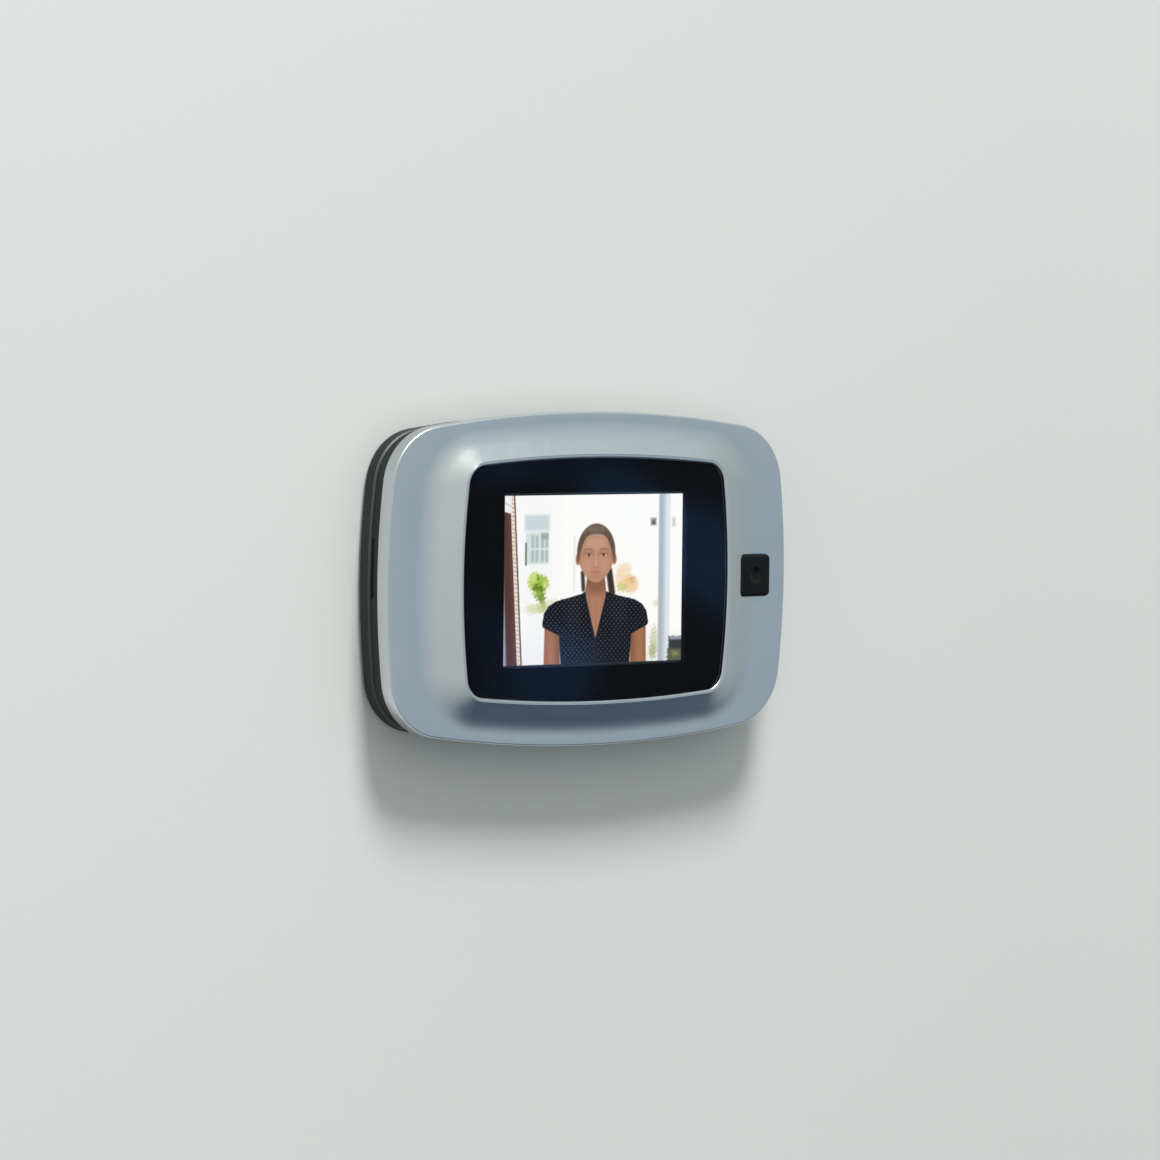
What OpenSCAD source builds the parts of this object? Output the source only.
// Peephole door camera: an indoor monitor on a hook plate, clamped through the door to an outdoor camera.
// Millimetres. X is right and Z is up; the room is at -Y and the door's inner face is the plane Y = 0.
// Each module is drawn lying down (x right, y up, z out of the door) and stood up by upright().

/* [Housing] */
// Width of the silver fascia
body_w = 127.6; // [126:0.1:132]
// Height of the silver fascia
body_h = 84.5; // [84:0.1:88]
// Radius of the bowed left and right edges
side_r = 208; // [195:1:230]
// Radius of the bowed top and bottom edges
top_r = 339; // [320:1:380]
// Radius of the four corners
corner_r = 15.7; // [14.5:0.1:17]
// Gap left between the rear cover and the door
door_gap = 0.3; // [0.2:0.05:0.5]
// Depth of the rear cover, to the parting line
rear_depth = 4.4; // [4.3:0.1:5]
// Depth of the middle housing, from the parting line to the fascia
mid_depth = 4.7; // [4.6:0.1:5.2]
// Depth of the fascia's outer band
band_depth = 4.2; // [4:0.1:4.8]
// Wall thickness of the shells
wall = 1.6; // [1.4:0.1:1.8]
// How far the rear cover's edge lies inside the fascia's edge
rear_inset = 0.8; // [0.6:0.1:1]
// How far the middle housing's edge lies inside the fascia's edge
mid_inset = 1.3; // [1.1:0.1:1.5]
// Rounding of the fascia's front edge
edge_r = 0.5; // [0.4:0.1:1.2]
// Length of the nail notch beside the parting line
notch_len = 14.6; // [8:0.1:18]

/* [Raised frame and screen] */
// Width of the black window
window_w = 84.6; // [84:0.1:86]
// Height of the black window
window_h = 61.6; // [60.5:0.1:62.5]
// Corner radius of the window
window_corner_r = 5.3; // [4:0.1:6.5]
// Thickness of the window
window_t = 1.5; // [1.2:0.1:1.6]
// Width of the thin lip around the window
lip_w = 0.75; // [0.5:0.05:1]
// Rounding of the lip's edge beside the window
lip_r = 0.3; // [0.1:0.05:0.45]
// Height of the lip above the flat rim
rise = 3.05; // [2.8:0.05:3.4]
// Width of the flat rim at the left and right, outside the sloping flank
rim_side = 8.9; // [7.5:0.1:10]
// Width of the flat rim at the top and bottom
rim_top = 2.2; // [1.6:0.1:3]
// Part of the flank that is straight, the rest curls into the rim
flank_straight = 0.42; // [0.3:0.02:0.55]
// Width of the picture
picture_w = 57.6; // [56:0.1:58]
// Height of the picture
picture_h = 43.2; // [42:0.1:43.4]

/* [Button] */
// Width of the button cap
button_w = 9.95; // [8.5:0.05:10.6]
// Height of the button cap
button_h = 10.75; // [9:0.05:12]
// Distance of the button's middle from the fascia's right edge
button_in = 10.7; // [10:0.1:11.2]
// How far the cap stands proud of the rim
button_proud = 1.2; // [0.9:0.05:1.5]
// How far the cap can be pressed
button_travel = 0.5; // [0.3:0.05:0.55]
// Gap around the cap
button_gap = 0.15; // [0.1:0.05:0.25]

/* [Battery bay] */
// Diameter of a cell (AAA)
cell_d = 10.5; // [10.2:0.1:10.5]
// Length of a cell with its button
cell_len = 44.5; // [44:0.1:44.8]
// Length of a pressed contact spring
spring_len = 3; // [2.6:0.1:3.4]
// Thickness of the battery cover
lid_t = 0.95; // [0.8:0.05:0.95]

/* [Hook plate] */
// Width of the steel plate
plate_w = 60; // [58:0.5:63]
// Height of the steel plate
plate_h = 41; // [40:0.5:43]
// Thickness of the steel plate
plate_t = 1.2; // [1:0.1:1.3]
// Thickness of the foam pad behind the plate
pad_t = 0.8; // [0.6:0.1:1]
// How far the monitor lifts to come off the hooks
lift = 6; // [5.2:0.1:6]
// Length of a hook's tongue
hook_len = 4.6; // [4:0.1:5]

/* [Camera barrel] */
// Door thickness at which the set is drawn
door_t = 40; // [40:0.5:44]
// Outer diameter of the barrel, for a 14 mm hole
barrel_d = 13.6; // [13:0.1:14]
// Diameter of the clamp screw's shaft
screw_d = 9.9; // [9.5:0.1:10.2]
// Gap between the shaft and the barrel's thread bore
thread_gap = 0.05; // [0.03:0.01:0.1]
// Diameter of the clamp screw's head
head_d = 22; // [19:0.5:23]
// Diameter of the outdoor flange
flange_d = 28; // [26:0.5:34]
// How far the barrel can move in, for a thinner door
feed_in = 5; // [3:0.5:5]
// How far the barrel can move out, for a thicker door
feed_out = 15; // [10:0.5:16]

/* [Hidden] */
$fn = 72;

// Heights out of the door
z_back = door_gap;
z_part = z_back + rear_depth;
z_band = z_part + mid_depth;
z_rim = z_band + band_depth;
z_lip = z_rim + rise;
z_glass = z_lip - 0.1;
tape_t = 0.15;
z_tape = z_glass - window_t - tape_t;
seat_t = 0.95;
seat_in = 4.4;
z_lcd = z_tape - seat_t - 0.05;
lcd_t = 2.1;
z_lcd_back = z_lcd - lcd_t;
z_under_rim = z_rim - wall;

// Outlines as [half width, half height, side arc radius, top arc radius, corner radius]
OUT = [body_w/2, body_h/2, side_r, top_r, corner_r];
WIN = [window_w/2, window_h/2, 195, 374, window_corner_r];
LIP = grown(WIN, lip_w);
FOOT = [body_w/2 - rim_side, body_h/2 - rim_top, side_r - 2, top_r + 13, corner_r + 2.8];
SEAT = grown(WIN, -seat_in);
REAR = grown(OUT, -rear_inset);
MID = grown(OUT, -mid_inset);

function grown(o, d) = [for (v = o) v + d];
function mixed(p, q, s) = p*(1 - s) + q*s;

// Centre of the corner arc that touches the side arc and the top arc from inside
function corner_at(o) = let (
    sx = o[0] - o[2],
    ty = o[1] - o[3],
    r1 = o[2] - o[4],
    r2 = o[3] - o[4],
    d = norm([sx, ty]),
    along = (r1*r1 - r2*r2 + d*d)/(2*d),
    off = sqrt(r1*r1 - along*along),
    u = [-sx, ty]/d,
    p = [sx, 0] + along*u,
    q1 = p + off*[u.y, -u.x],
    q2 = p - off*[u.y, -u.x])
  q1.x + q1.y > q2.x + q2.y ? q1 : q2;
function top_at(o, x) = o[1] - o[3] + sqrt(o[3]*o[3] - x*x);
function side_angle(o) = let (c = corner_at(o)) atan2(c.y, c.x - o[0] + o[2]);
function top_angle(o) = let (c = corner_at(o)) atan2(c.y - o[1] + o[3], c.x);

// Points around an outline, counter-clockwise from the middle of the right side
SIDE_N = 6;
CORNER_N = 10;
TOP_N = 8;
function arc_points(at, r, from, to, n) = [for (k = [0:n - 1]) at + r*[cos(from + (to - from)*k/n), sin(from + (to - from)*k/n)]];
function outline_points(o) = let (
    c = corner_at(o),
    a = side_angle(o),
    b = top_angle(o),
    right = [o[0] - o[2], 0],
    top = [0, o[1] - o[3]])
  concat(
    arc_points(right, o[2], -a, a, SIDE_N),
    arc_points(c, o[4], a, b, CORNER_N),
    arc_points(top, o[3], b, 180 - b, TOP_N),
    arc_points([-c.x, c.y], o[4], 180 - b, 180 - a, CORNER_N),
    arc_points(-right, o[2], 180 - a, 180 + a, SIDE_N),
    arc_points(-c, o[4], 180 + a, 180 + b, CORNER_N),
    arc_points(-top, o[3], 180 + b, 360 - b, TOP_N),
    arc_points([c.x, -c.y], o[4], 360 - b, 360 - a, CORNER_N));

module upright() {
  rotate([90, 0, 0]) children();
}

function level_row(o, z) = [for (e = outline_points(o)) [e.x, e.y, z]];
function wall_faces(m, n, closed) = [for (i = [0:closed ? m - 1 : m - 2], k = [0:n - 1]) let (
    a = i*n + k,
    b = i*n + (k + 1)%n,
    c = ((i + 1)%m)*n + (k + 1)%n,
    d = ((i + 1)%m)*n + k)
  each [[a, c, b], [a, d, c]]];

// Skin through rows of points that run up the outside and, for a ring, back down the inside
module ring_loft(rows) {
  polyhedron(points = [for (r = rows) each r], faces = wall_faces(len(rows), len(rows[0]), true));
}

module capped_loft(rows) {
  n = len(rows[0]);
  m = len(rows);
  polyhedron(
    points = [for (r = rows) each r],
    faces = concat([[for (k = [0:n - 1]) k]], wall_faces(m, n, false), [[for (k = [n - 1:-1:0]) (m - 1)*n + k]]));
}

module disc_of(o) {
  polygon(outline_points(o));
}

module slab(o, from, to) {
  translate([0, 0, from]) linear_extrude(to - from) disc_of(o);
}

module block(x, y, z) {
  translate([x[0], y[0], z[0]]) cube([x[1] - x[0], y[1] - y[0], z[1] - z[0]]);
}

module post(at, r, from, to) {
  translate([at.x, at.y, from]) cylinder(r = r, h = to - from);
}

module round_rect(w, h, r) {
  square([w - 2*r, h], center = true);
  square([w, h - 2*r], center = true);
  for (x = [-1, 1], y = [-1, 1]) translate([x*(w/2 - r), y*(h/2 - r)]) circle(r);
}

module round_slab(w, h, r, from, to) {
  translate([0, 0, from]) linear_extrude(to - from) round_rect(w, h, r);
}

button_x = body_w/2 - button_in;
z_board = z_band - 1.8;
board_t = 1.2;
z_board_top = z_board + board_t;

// Flank of the raised frame: height over the rim at the part s of the way from the lip to the foot
flank_fall = 2*rise/(1 + flank_straight);
function flank_height(s) = s < flank_straight ? rise - flank_fall*s : flank_fall*pow(1 - s, 2)/(2*(1 - flank_straight));
function flank_row(s, z) = let (p = outline_points(LIP), q = outline_points(FOOT))
  [for (k = [0:len(p) - 1]) let (e = mixed(p[k], q[k], s)) [e.x, e.y, z]];
// Height of the middle of the skin over a place near a corner
function flank_part(p) = let (
    c = corner_at(LIP),
    d = corner_at(FOOT),
    q = [abs(p.x), abs(p.y)],
    w = q - mixed(c, d, 0.7),
    u = w/norm(w))
  ((q - c)*u - LIP[4])/((d - c)*u + FOOT[4] - LIP[4]);
function boss_top(p) = z_rim + flank_height(max(0, min(1, flank_part(p)))) - wall/2;

// Fascia skin: band, rounded edge, rim, flank lofted between two outlines that aren't parallel, lip,
// window seat, and the inside of the same
module fascia_skin() {
  bend = 1 - flank_straight;
  inner = grown(OUT, -wall);
  ring_loft(concat(
    [level_row(OUT, z_band)],
    [for (g = [0:30:90]) level_row(grown(OUT, edge_r*(cos(g) - 1)), z_rim - edge_r*(1 - sin(g)))],
    [for (k = [6:-1:0]) let (s = flank_straight + bend*k/6) flank_row(s, z_rim + flank_height(s))],
    [level_row(LIP, z_lip)],
    [for (g = [0:30:90]) level_row(grown(WIN, lip_r*(1 - sin(g))), z_lip - lip_r*(1 - cos(g)))],
    [level_row(WIN, z_tape)],
    [level_row(SEAT, z_tape), level_row(SEAT, z_tape - seat_t), level_row(LIP, z_tape - seat_t)],
    [for (s = [flank_straight, 0.7]) flank_row(s, z_rim + flank_height(s) - wall - 0.1)],
    [level_row(FOOT, z_under_rim), level_row(inner, z_under_rim), level_row(inner, z_band)]));
}

module front_fascia() color("#93a3b0") upright() difference() {
  union() {
    fascia_skin();
    for (p = case_screws) post(p, 2.6, z_band - 3, boss_top(p));
  }
  for (p = case_screws) post(p, 1.1, z_band - 4, z_under_rim - 0.6);
  translate([button_x, -0.1, 0])
    round_slab(button_w + 2*button_gap, button_h + 2*button_gap, 1.35, z_band, z_lip + 2);
}

module screen_window() color("#0c0e12") upright() slab(grown(WIN, -0.1), z_glass - window_t, z_glass);

module window_tape() color("#202020") upright() difference() {
  slab(grown(WIN, -0.4), z_tape, z_tape + tape_t);
  slab(grown(SEAT, 0.3), z_tape - 1, z_tape + 1);
}

// Display
glass_w = picture_w + 6.8;
glass_h = picture_h + 4.6;
frame_w = glass_w + 4.8;
frame_h = glass_h + 2.4;
glass_t = 1;
flex_w = 16;
flex_r = (z_lcd - glass_t/2 - z_board_top - 0.7)/2;
flex_y = -frame_h/2 - 0.3;
z_flex = z_board_top + 0.7 + flex_r;
flex_t = 0.2;

module lcd_panel() color("#30343a") upright()
  block([-glass_w/2, glass_w/2], [-glass_h/2, glass_h/2], [z_lcd - glass_t, z_lcd]);

module lcd_frame() color("#d8d8d2") upright() {
  difference() {
    round_slab(frame_w, frame_h, 0.8, z_lcd_back, z_lcd - 0.2);
    block([-glass_w/2 - 0.1, glass_w/2 + 0.1], [-glass_h/2 - 0.1, glass_h/2 + 0.1], [z_lcd - glass_t, z_lcd + 1]);
    block([-flex_w/2 - 0.5, flex_w/2 + 0.5], [-frame_h, -glass_h/2 + 1], [z_lcd - glass_t - 0.4, z_lcd + 1]);
  }
  for (x = [-1, 1], y = [-1, 1]) post([x*(frame_w/2 - 8), y*(frame_h/2 - 4)], 1.6, z_board_top, z_lcd_back + 0.3);
}

module lcd_flex() color("#c8782a") upright() rotate([90, 0, 90]) translate([0, 0, -flex_w/2]) linear_extrude(flex_w) {
  translate([flex_y, z_flex + flex_r - flex_t/2]) square([-glass_h/2 - flex_y, flex_t]);
  translate([flex_y, z_flex - flex_r - flex_t/2]) square([6, flex_t]);
  translate([flex_y, z_flex]) difference() {
    circle(flex_r + flex_t/2);
    circle(flex_r - flex_t/2);
    translate([0, -2*flex_r]) square(4*flex_r);
  }
}

module flex_socket() color("#e6e0d0") upright() difference() {
  block([-flex_w/2 - 2, flex_w/2 + 2], [flex_y + 3, flex_y + 7], [z_board_top, z_board_top + 1.4]);
  block([-flex_w/2 - 0.2, flex_w/2 + 0.2], [flex_y + 2, flex_y + 6.05], [z_board_top + 0.58, z_board_top + 0.82]);
}

// Battery bay at the left, two cells standing side by side
cell_pitch = cell_d + 0.4;
bay_x = -body_w/2 + 10.5;
cell_x = [bay_x, bay_x + cell_pitch];
cell_z = z_back + lid_t + 0.1 + cell_d/2;
cell_shift = spring_len/2;
bay_h = cell_len + spring_len + 0.8;
bay_left = cell_x[0] - cell_d/2 - 0.2;
bay_right = cell_x[1] + cell_d/2 + 0.3;
bay_wall = 1;
z_bay = cell_z + cell_d/2 - 0.15;
pin_r = 0.6;
knuckle_r = 0.9;
lid_x = cell_x[0] - 5.1;
lid_z = z_back + knuckle_r;
lid_h = bay_h - 0.9;
lid_right = bay_right - 0.2;

// Screw places
lug_r = 3.2;
case_screw_x = corner_at(OUT).x + 2.3;
case_screw_y = max(corner_at(OUT).y + 7.84, bay_h/2 + bay_wall + lug_r + 0.2);
case_screws = [for (x = [-1, 1], y = [-1, 1]) [x*case_screw_x, y*case_screw_y]];
board_x = [bay_right + bay_wall + 5.85, body_w/2 - 25.8];
board_edge = 5.5;
board_holes = [for (x = board_x, y = [-1, 1]) [x, y*(top_at(OUT, x) - board_edge)]];

// Hook plate, and the recess that covers it
plate_y = 0.5;
z_plate = pad_t;
z_plate_top = pad_t + plate_t;
hook_t = 1.2;
hook_w = 8;
z_tongue = z_plate_top + 1.8;
z_recess = z_tongue + hook_t + 0.6;
hooks = [for (x = [-1, 1], y = [9, -15]) [x*23, y]];
bar_h = 3;
recess_x = plate_w/2 + 2;
recess_top = plate_y + plate_h/2 + 2.5;
recess_low = plate_y - plate_h/2 - lift - 1.5;
floor_t = 1.2;
socket_y = 16.5;

module main_board() color("#1d5a34") upright() difference() {
  intersection() {
    slab(grown(OUT, -mid_inset - wall - 0.6), z_board, z_board_top);
    block([bay_right + bay_wall + 0.4, body_w/2], [-body_h, body_h], [0, z_lip]);
  }
  for (p = case_screws) post(p, 3, 0, z_lip);
  for (p = board_holes) post(p, 1.1, 0, z_lip);
}

module board_chips() color("#17181a") upright() {
  block([-8, 8], [-8, 8], [z_board_top, z_board_top + 1.2]);
  block([14, 24], [-5, 7], [z_board_top, z_board_top + 1.1]);
  block([-24, -14], [4, 10], [z_board_top, z_board_top + 1]);
  block([-24, -18], [-10, -5], [z_board_top, z_board_top + 1.6]);
  post([18, -13], 2.5, z_board_top, z_board_top + 1.9);
}

module ribbon_socket() color("#e6e0d0") upright()
  block([-5, 5], [socket_y - 2.3, socket_y + 2.3], [z_recess - 0.1, z_board]);

module ribbon_plug() color("#26282b") upright() difference() {
  block([-4.6, 4.6], [socket_y - 2.1, socket_y + 2.1], [z_recess - 1.7, z_recess - 0.1]);
  block([-2.7, 2.7], [socket_y - 3, socket_y + 1], [z_recess - 0.92, z_recess - 0.68]);
}

// Button, over a switch on the main board
z_cap_low = z_under_rim - 1.05;
z_tact = z_board_top + 1.4;
module tact_switch() color("#2b2d30") upright() translate([button_x, -0.1, 0]) difference() {
  block([-3, 3], [-3, 3], [z_board_top, z_tact]);
  post([0, 0], 1.8, z_board_top + 0.15, z_tact + 1);
}

module tact_plunger() color("#b9b4a8") upright() translate([button_x, -0.1, 0])
  post([0, 0], 1.75, z_board_top + 0.15 + button_travel + 0.05, z_cap_low);

// Block with rounded corners and a bevel all around its top
module bevelled(w, h, r, bevel, from, to) {
  low = to - bevel - from;
  side = [for (e = [w, h]) [[-e/2, 0], [e/2, 0], [e/2, low], [e/2 - bevel, low + bevel], [-e/2 + bevel, low + bevel], [-e/2, low]]];
  translate([0, 0, from]) {
    translate([0, h/2 - r, 0]) rotate([90, 0, 0]) linear_extrude(h - 2*r) polygon(side[0]);
    translate([-w/2 + r, 0, 0]) rotate([90, 0, 90]) linear_extrude(w - 2*r) polygon(side[1]);
    for (x = [-1, 1], y = [-1, 1]) translate([x*(w/2 - r), y*(h/2 - r), 0]) {
      cylinder(r = r, h = low);
      translate([0, 0, low]) cylinder(r1 = r, r2 = r - bevel, h = bevel);
    }
  }
}

module button_cap() color("#1c1d1f") upright() translate([button_x, -0.1, 0]) difference() {
  union() {
    bevelled(button_w, button_h, 1.2, 0.4, z_cap_low, z_rim + button_proud);
    round_slab(button_w + 1.4, button_h + 1.4, 1.6, z_cap_low, z_under_rim - 0.05);
  }
  translate([0, 0, z_rim + button_proud + 5.8]) sphere(6, $fn = 96);
}

// Middle housing: a ring that carries the board on four lugs
module rear_housing() color("#2b3134") upright() difference() {
  union() {
    difference() {
      slab(MID, z_part, z_band);
      slab(grown(MID, -wall), z_part - 1, z_band + 1);
    }
    difference() {
      slab(grown(OUT, -wall - 0.1), z_band - 0.6, z_band + 1);
      slab(grown(OUT, -wall - 1.1), z_band - 2, z_band + 2);
    }
    for (p = case_screws) intersection() {
      union() {
        post(p, lug_r, z_part, z_band - 3.1);
        block([p.x - 3, p.x + 3], [min(p.y, sign(p.y)*body_h/2), max(p.y, sign(p.y)*body_h/2)], [z_part, z_band - 3.1]);
      }
      slab(grown(MID, -wall/2), z_part, z_band);
    }
    for (p = board_holes) intersection() {
      union() {
        post(p, 2.8, z_part, z_board);
        block([p.x - 1.5, p.x + 1.5], [min(p.y, sign(p.y)*body_h/2), max(p.y, sign(p.y)*body_h/2)], [z_part, z_board]);
      }
      slab(grown(MID, -wall/2), z_part, z_band);
    }
  }
  for (p = case_screws) post(p, 1.2, 0, z_lip);
  for (p = board_holes) post(p, 1, z_part + 0.4, z_lip);
  block([-body_w, -MID[0] + 1], [3.5 - notch_len/2, 3.5 + notch_len/2], [z_part - 1, z_part + 1.3]);
}

// Rear cover: shell, recess for the hook plate with four hook bars, and the battery bay's walls
module rear_cover() color("#2f3432") upright() difference() {
  union() {
    difference() {
      capped_loft(concat(
        [for (g = [0:30:90]) level_row(grown(REAR, sin(g) - 1), z_back + 1 - cos(g))],
        [level_row(REAR, z_part - 0.4), level_row(grown(REAR, -0.4), z_part)]));
      slab(grown(REAR, -wall), z_back + 1.4, z_part + 1);
    }
    block([-recess_x - floor_t, recess_x + floor_t], [recess_low - floor_t, recess_top + floor_t], [z_back + 0.5, z_recess + floor_t]);
    for (p = case_screws) post(p, lug_r + 0.4, z_back + 0.5, z_part);
    intersection() {
      block([-body_w, bay_right + bay_wall], [-bay_h/2 - bay_wall, bay_h/2 + bay_wall], [z_back + 0.5, z_bay]);
      union() {
        slab(grown(REAR, -wall/2), 0, z_part);
        slab(grown(MID, -wall - 0.3), 0, z_bay);
      }
    }
  }
  difference() {
    block([-recess_x, recess_x], [recess_low, recess_top], [-1, z_recess]);
    for (p = hooks) difference() {
      block([p.x - 6.3, p.x + 6.3], [p.y + 0.05, p.y + bar_h], [z_plate_top + 0.2, z_recess + 1]);
      block([p.x - hook_w/2 - 0.5, p.x + hook_w/2 + 0.5], [p.y - 1, p.y + bar_h + 1], [z_tongue - 0.1, z_recess]);
    }
  }
  block([-5.6, 5.6], [socket_y - 2.9, socket_y + 2.9], [z_recess - 1, z_recess + floor_t + 1]);
  intersection() {
    block([-body_w, bay_right], [-bay_h/2, bay_h/2], [z_back + 1.4, z_bay + 1]);
    slab(grown(REAR, -wall), 0, z_bay + 2);
  }
  block([lid_x - knuckle_r - 0.15, bay_right], [-lid_h/2 - 0.2, lid_h/2 + 0.2], [-1, z_back + 2]);
  for (s = [-1, 1]) translate([lid_x, s*(lid_h/2 + 0.6), lid_z]) rotate([90, 0, 0])
    cylinder(r = pin_r + 0.05, h = 1.6, center = true);
  for (p = case_screws) {
    post(p, 1.2, -1, z_lip);
    post(p, 2.3, -1, z_back + 2);
  }
}

module battery_cover() color("#2f3432") upright() difference() {
  union() {
    block([lid_x, lid_right], [-lid_h/2, lid_h/2], [z_back, z_back + lid_t]);
    translate([lid_x, 0, lid_z]) rotate([90, 0, 0]) cylinder(r = knuckle_r, h = lid_h, center = true);
    translate([lid_x, 0, lid_z]) rotate([90, 0, 0]) cylinder(r = pin_r, h = lid_h + 2.2, center = true);
    block([lid_right - 1.1, lid_right - 0.1], [-4, 4], [z_back + 0.2, z_back + 2.7]);
  }
  block([lid_right - 1, lid_right + 1], [-7, -4.6], [-1, z_back + 2]);
}

module cell(x, way) {
  translate([x, way*cell_shift, cell_z]) rotate([-90*way, 0, 0]) {
    translate([0, 0, -cell_len/2]) cylinder(d = cell_d, h = cell_len - 1);
    translate([0, 0, cell_len/2 - 1.2]) cylinder(d = 3.8, h = 1.2);
  }
}

module battery_cells() color("#3f6f4c") upright() {
  cell(cell_x[0], 1);
  cell(cell_x[1], -1);
}

// Conical contact spring, wound from its base up
coil_wire = 0.6;
coil_turns = 3;
coil_steps = 14;
coil_sides = 6;
function coil_at(t) = let (r = 4 - 1.6*t, g = 360*coil_turns*t) [r*cos(g), r*sin(g), coil_wire/2 + (spring_len - coil_wire)*t];
module coil() {
  n = coil_turns*coil_steps;
  rings = [for (k = [0:n]) let (c = coil_at(k/n), g = 360*coil_turns*k/n) [for (j = [0:coil_sides - 1])
    let (b = 360*j/coil_sides) c + coil_wire/2*[cos(b)*cos(g), cos(b)*sin(g), sin(b)]]];
  polyhedron(
    points = [for (r = rings) each r],
    faces = concat(
      [[for (j = [coil_sides - 1:-1:0]) j]],
      [for (k = [0:n - 1], j = [0:coil_sides - 1]) let (
          a = k*coil_sides + j,
          b = k*coil_sides + (j + 1)%coil_sides)
        each [[a, b, a + coil_sides], [b, b + coil_sides, a + coil_sides]]],
      [[for (j = [0:coil_sides - 1]) n*coil_sides + j]]));
}

module battery_springs() color("#c9ccce") upright() {
  for (k = [0, 1]) let (way = k == 0 ? 1 : -1)
    translate([cell_x[k], -way*(bay_h/2 - 0.4), cell_z]) rotate([-90*way, 0, 0]) coil();
}

module battery_plates() color("#d2d5d6") upright() {
  block([bay_left + 0.8, cell_x[1] + 4.4], [-bay_h/2, -bay_h/2 + 0.4], [cell_z - 4.4, cell_z + 4.4]);
  for (x = cell_x) block([x - 4.4, x + 4.4], [bay_h/2 - 0.4, bay_h/2], [cell_z - 4.4, cell_z + 4.4]);
}

module housing_screws() color("#8f9396") upright() for (p = case_screws) {
  difference() {
    post(p, 2.1, z_back + 0.6, z_back + 2);
    translate([p.x, p.y, 0]) {
      block([-1.6, 1.6], [-0.35, 0.35], [0, z_back + 1.3]);
      block([-0.35, 0.35], [-1.6, 1.6], [0, z_back + 1.3]);
    }
  }
  post(p, 1.05, z_back + 1.8, z_under_rim - 1);
}

module board_screws() color("#8f9396") upright() for (p = board_holes) {
  post(p, 1.8, z_board_top, z_board_top + 1.1);
  post(p, 0.95, z_part + 0.8, z_board_top + 0.3);
}

module plate_shape(w, h) {
  translate([0, plate_y]) round_rect(w, h, 3);
}

module mount_plate() color("#b4b7b9") upright() difference() {
  union() {
    translate([0, 0, z_plate]) linear_extrude(plate_t) plate_shape(plate_w, plate_h);
    for (p = hooks) {
      block([p.x - hook_w/2, p.x + hook_w/2], [p.y - hook_t, p.y], [z_plate_top - 0.3, z_tongue + hook_t]);
      block([p.x - hook_w/2, p.x + hook_w/2], [p.y - hook_t, p.y + hook_len], [z_tongue, z_tongue + hook_t]);
    }
  }
  for (p = hooks) block([p.x - hook_w/2 - 0.3, p.x + hook_w/2 + 0.3], [p.y, p.y + 6], [-1, z_plate_top + 0.1]);
  post([0, 0], screw_d/2 + 0.1, -1, z_recess);
}

module plate_pad() color("#e8e6df") upright() difference() {
  linear_extrude(pad_t) plate_shape(plate_w - 4, plate_h - 3);
  post([0, 0], barrel_d/2 + 1, -1, z_recess);
  for (p = hooks) block([p.x - hook_w/2 - 0.3, p.x + hook_w/2 + 0.3], [p.y, p.y + 6], [-1, z_plate_top]);
}

// Clamp screw: hollow, with a coin slot across its head
z_head = z_plate_top + 2.2;
barrel_in = -feed_in - 1;
screw_end = barrel_in - feed_out - 5;
hollow_r = screw_d/2 - 1.25;
module clamp_screw() color("#c2b27a") upright() difference() {
  union() {
    translate([0, 0, z_plate_top]) cylinder(d = head_d, h = 1.7);
    translate([0, 0, z_plate_top + 1.7]) cylinder(d1 = head_d, d2 = head_d - 1, h = 0.5);
    translate([0, 0, screw_end]) cylinder(d = screw_d, h = z_plate_top + 0.5 - screw_end);
  }
  translate([0, 0, screw_end - 1]) cylinder(r = hollow_r, h = 60);
  block([-head_d, head_d], [-0.9, 0.9], [z_head - 1.1, z_head + 1]);
}

// Outdoor camera, drawn at the door thickness named above
gasket_t = 0.8;
z_flange = -door_t - gasket_t;
flange_t = 3.2;
z_nose = z_flange - flange_t - 2;
z_lens_seat = -door_t + 5;
module camera_housing() color("#9a9da0") upright() difference() {
  union() {
    translate([0, 0, z_flange - flange_t + 1]) cylinder(d = flange_d, h = flange_t - 1);
    translate([0, 0, z_flange - flange_t]) cylinder(d1 = flange_d - 3, d2 = flange_d, h = 1);
    translate([0, 0, z_nose]) cylinder(d = 18, h = 3);
    translate([0, 0, z_flange - 1]) cylinder(d = barrel_d, h = barrel_in - z_flange + 1);
  }
  post([0, 0], screw_d/2 + thread_gap, z_lens_seat, 1);
  post([0, 0], 4, z_nose - 1, 1);
  post([0, 0], 6.5, z_nose - 1, z_nose + 1.4);
}

module door_gasket() color("#1b1b1b") upright() difference() {
  post([0, 0], flange_d/2 - 1, z_flange, -door_t);
  post([0, 0], barrel_d/2 + 0.1, z_flange - 1, 0);
}

module lens_cover() color("#a8c0c8") upright() post([0, 0], 6.45, z_nose, z_nose + 1.4);

module lens_ring() color("#303336") upright() difference() {
  post([0, 0], 8.4, z_nose - 1.1, z_nose);
  translate([0, 0, z_nose - 1.2]) cylinder(r1 = 6, r2 = 5.3, h = 1.3);
}

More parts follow.
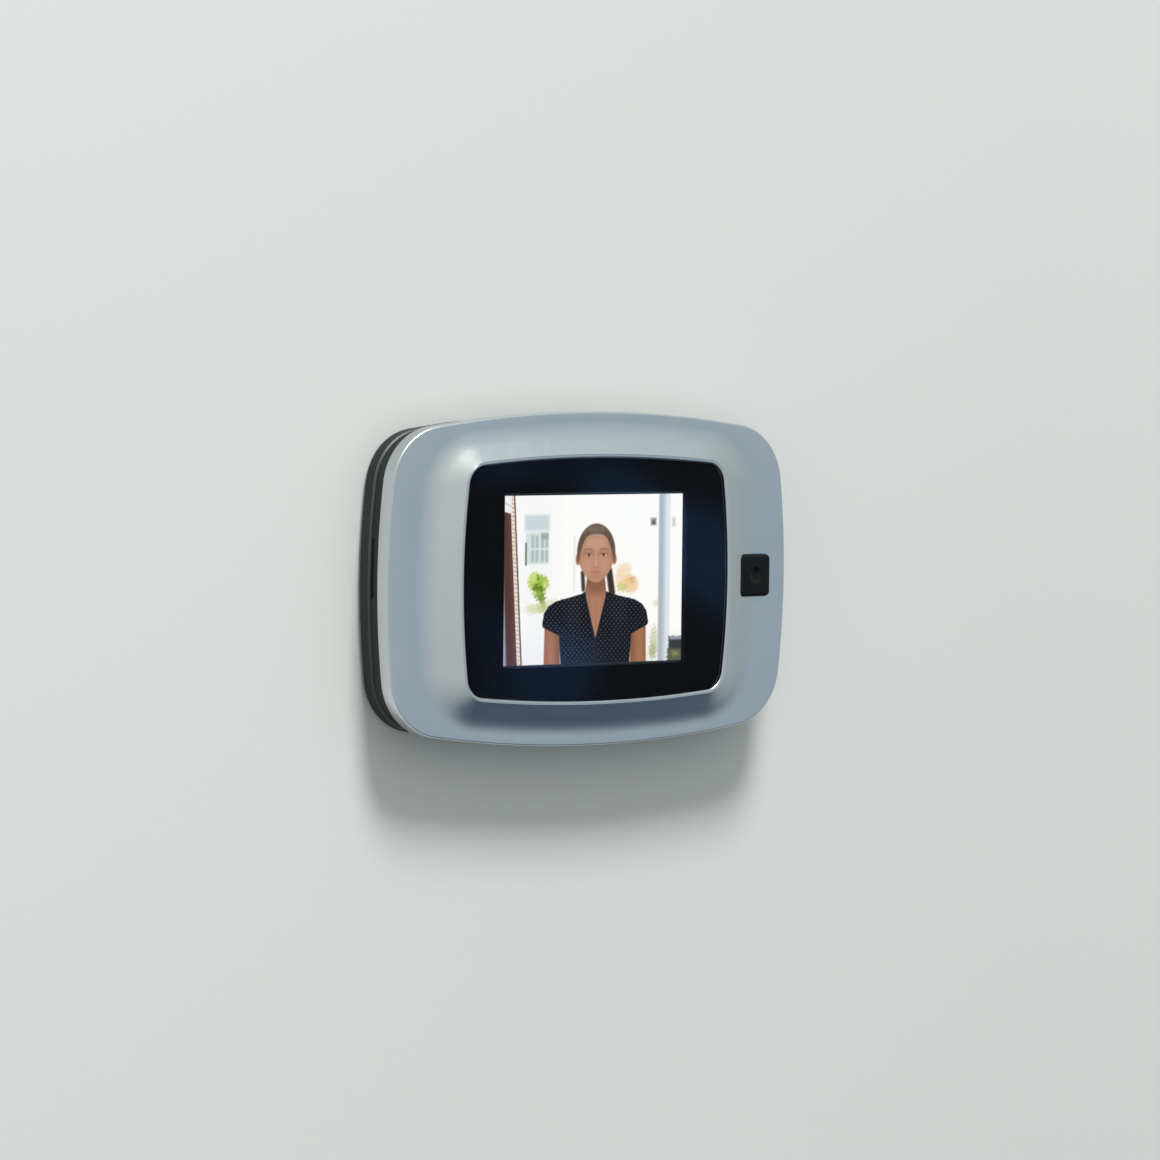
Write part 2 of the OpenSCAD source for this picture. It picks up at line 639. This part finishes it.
lens_r = 3.2;
module lens_barrel() color("#202224") upright() difference() {
  union() {
    post([0, 0], 3.95, z_nose + 2, z_lens_seat);
    post([0, 0], screw_d/2 - 0.1, z_lens_seat, z_lens_seat + 1.6);
  }
  post([0, 0], lens_r, z_nose, 0);
}

module lens_elements() color("#b8cad0") upright() {
  lens_at = [z_nose + 3.2, z_nose + 6.4];
  for (z = lens_at) translate([0, 0, z]) intersection() {
    translate([0, 0, 5]) sphere(6, $fn = 96);
    translate([0, 0, -5]) sphere(6, $fn = 96);
    cylinder(r = lens_r, h = 4, center = true);
  }
}

module image_sensor() color("#3a3f58") upright()
  block([-2.3, 2.3], [-1.9, 1.9], [z_lens_seat + 0.9, z_lens_seat + 1.6]);

z_sensor = z_lens_seat + 1.6;
module sensor_board() color("#1d5a34") upright() post([0, 0], screw_d/2 - 0.1, z_sensor, z_sensor + 0.8);

ribbon_t = 0.2;
bend_r = 0.9;
z_ribbon = z_recess - 0.8;
module camera_ribbon() color("#c8782a") upright() rotate([90, 0, 90]) translate([0, 0, -2.5]) linear_extrude(5) {
  translate([-ribbon_t/2, z_sensor + 0.8]) square([ribbon_t, z_ribbon - bend_r - z_sensor - 0.8]);
  translate([bend_r, z_ribbon - ribbon_t/2]) square([socket_y + 0.9 - bend_r, ribbon_t]);
  translate([bend_r, z_ribbon - bend_r]) difference() {
    circle(bend_r + ribbon_t/2);
    circle(bend_r - ribbon_t/2);
    translate([-4, -4]) square([8, 4]);
    translate([0, -1]) square([4, 8]);
  }
}

front_fascia();
screen_window();
window_tape();
lcd_panel();
lcd_frame();
lcd_flex();
flex_socket();
main_board();
board_chips();
ribbon_socket();
ribbon_plug();
tact_switch();
tact_plunger();
button_cap();
rear_housing();
rear_cover();
battery_cover();
battery_cells();
battery_springs();
battery_plates();
housing_screws();
board_screws();
mount_plate();
plate_pad();
clamp_screw();
camera_housing();
door_gasket();
lens_cover();
lens_ring();
lens_barrel();
lens_elements();
sensor_board();
image_sensor();
camera_ribbon();
